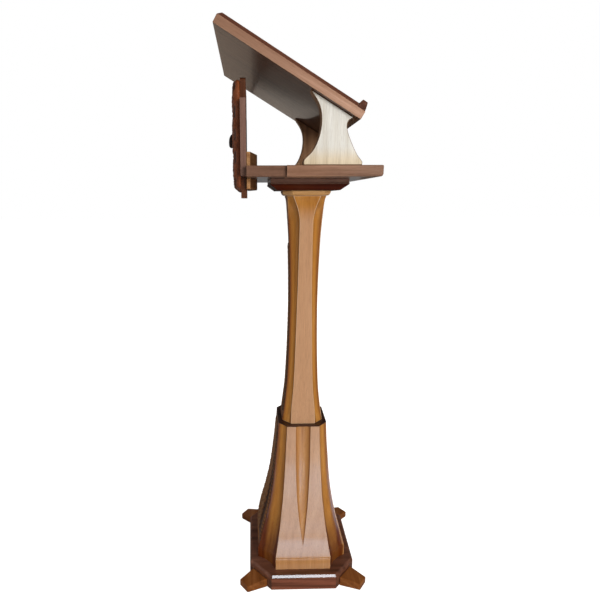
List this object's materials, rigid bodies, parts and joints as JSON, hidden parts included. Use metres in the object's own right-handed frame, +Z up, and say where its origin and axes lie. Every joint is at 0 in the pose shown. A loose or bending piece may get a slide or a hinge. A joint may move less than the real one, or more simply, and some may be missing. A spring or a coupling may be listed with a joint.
{
  "type": "presentation lectern",
  "caption": "Tall wooden reading lectern: fluted flared pedestal on a footed plinth, slender column, storage shelf, tilted reading board with book ledge, and a carved front emblem board.",
  "frame": {"origin": "centre of the plinth's underside, on the floor", "axes": "+Z up, +X across the lectern to the right of someone facing +Y, -Y towards the audience (emblem side), +Y towards the reader"},
  "size_m": [0.332, 0.3412, 1.2468],
  "materials": {
    "dark_walnut": "gloss lacquer",
    "mauve_walnut": "gloss lacquer",
    "honey_wood": "gloss lacquer",
    "pale_ash": "satin lacquer",
    "beech_dowel": "bare",
    "steel_screw": "zinc"
  },
  "bodies": {
    "root": {"block_screw_1": "steel_screw", "block_screw_2": "steel_screw", "block_screw_3": "steel_screw", "block_screw_4": "steel_screw", "book_ledge": "dark_walnut", "bookrest": "mauve_walnut", "bracket_left": "pale_ash", "bracket_left_foot_dowel_1": "beech_dowel", "bracket_left_foot_dowel_2": "beech_dowel", "bracket_left_head_dowel_1": "beech_dowel", "bracket_left_head_dowel_2": "beech_dowel", "bracket_right": "pale_ash", "bracket_right_foot_dowel_1": "beech_dowel", "bracket_right_foot_dowel_2": "beech_dowel", "bracket_right_head_dowel_1": "beech_dowel", "bracket_right_head_dowel_2": "beech_dowel", "capital_lower": "dark_walnut", "capital_screw_1": "steel_screw", "capital_screw_2": "steel_screw", "capital_screw_3": "steel_screw", "capital_screw_4": "steel_screw", "capital_upper": "dark_walnut", "column": "honey_wood", "column_carving": "dark_walnut", "emblem_board": "mauve_walnut", "emblem_boss": "dark_walnut", "emblem_medallion": "dark_walnut", "emblem_screw_1": "steel_screw", "emblem_screw_2": "steel_screw", "emblem_screw_3": "steel_screw", "emblem_screw_4": "steel_screw", "foot_front_left": "dark_walnut", "foot_front_left_dowel": "beech_dowel", "foot_front_right": "dark_walnut", "foot_front_right_dowel": "beech_dowel", "foot_rear_left": "dark_walnut", "foot_rear_left_dowel": "beech_dowel", "foot_rear_right": "dark_walnut", "foot_rear_right_dowel": "beech_dowel", "front_tongue": "mauve_walnut", "glue_block_lower": "dark_walnut", "glue_block_upper": "dark_walnut", "ledge_dowel_1": "beech_dowel", "ledge_dowel_2": "beech_dowel", "ledge_dowel_3": "beech_dowel", "neck_moulding": "honey_wood", "pedestal": "honey_wood", "pedestal_carving": "dark_walnut", "pedestal_collar": "dark_walnut", "plinth": "dark_walnut", "plinth_screw_1": "steel_screw", "plinth_screw_2": "steel_screw", "plinth_screw_3": "steel_screw", "plinth_screw_4": "steel_screw", "shelf": "mauve_walnut", "tongue_dowel_1": "beech_dowel", "tongue_dowel_2": "beech_dowel", "tongue_dowel_3": "beech_dowel"}
  },
  "joints": []
}
